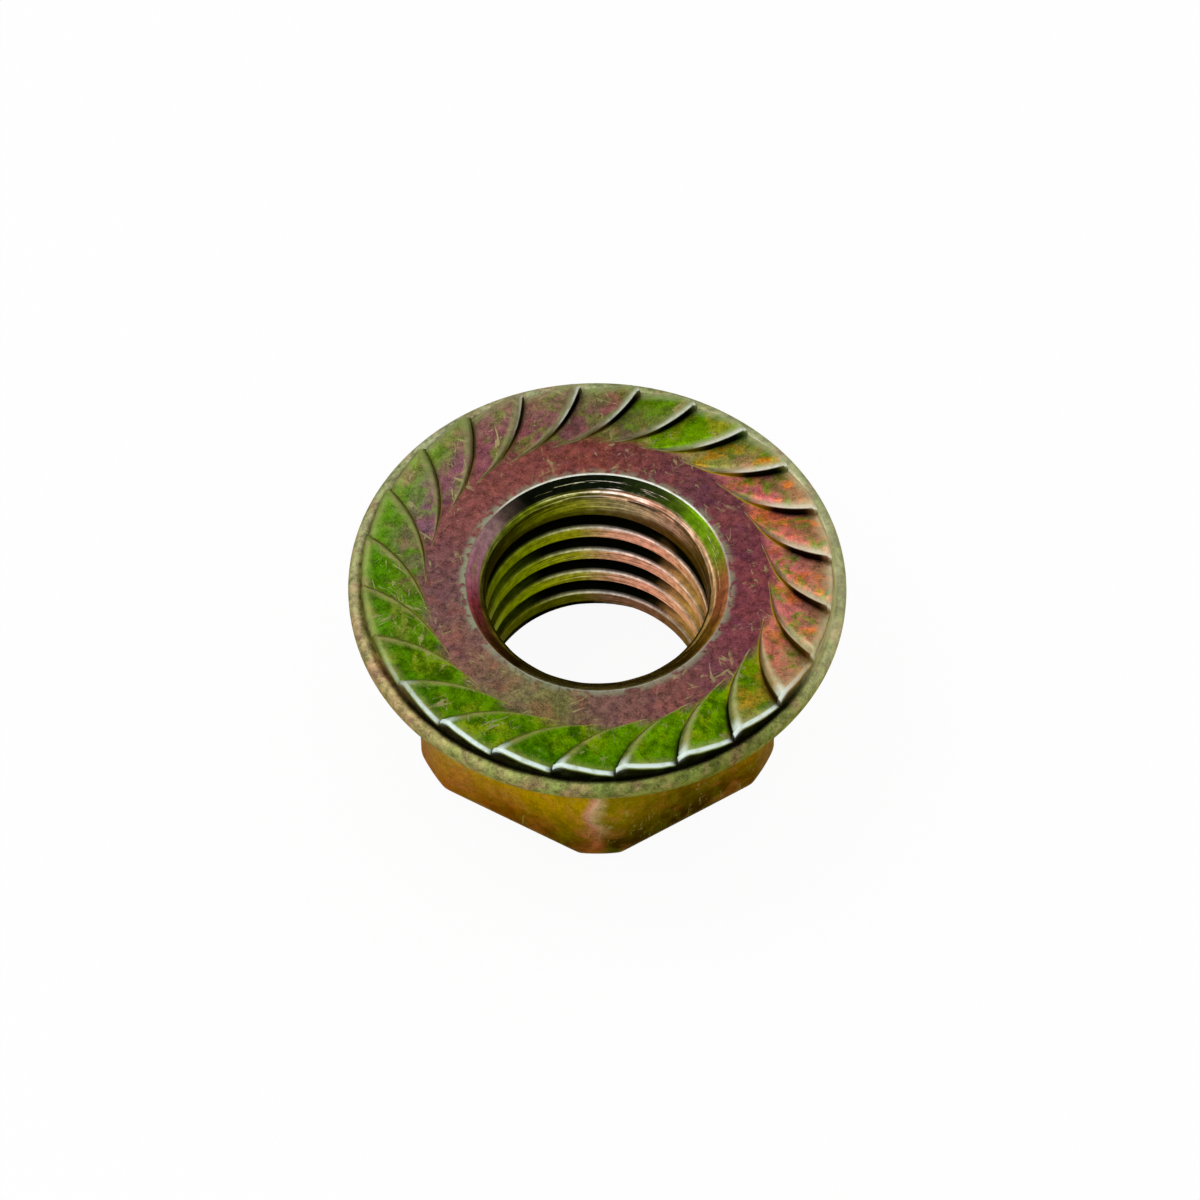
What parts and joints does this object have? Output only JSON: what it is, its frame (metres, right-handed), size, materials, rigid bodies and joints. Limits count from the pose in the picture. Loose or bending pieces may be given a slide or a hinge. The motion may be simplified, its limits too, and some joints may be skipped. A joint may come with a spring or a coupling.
{
  "type": "serrated flange nut",
  "caption": "Steel hexagon nut with an integral flange whose clamping face is serrated to resist loosening, finished in iridescent yellow zinc.",
  "frame": {"origin": "centre of the hexagon end's face, on the nut's axis and on the surface it stands on", "axes": "+Z runs along the nut's axis, from the hexagon end to the serrated clamping face, and one hexagon corner points along -Y"},
  "size_m": [0.019, 0.019, 0.0097],
  "materials": {
    "flange_nut": "zinc plated steel with an iridescent yellow chromate, worn pale on its edges"
  },
  "bodies": {
    "root": {"flange_nut": "flange_nut"}
  },
  "joints": []
}
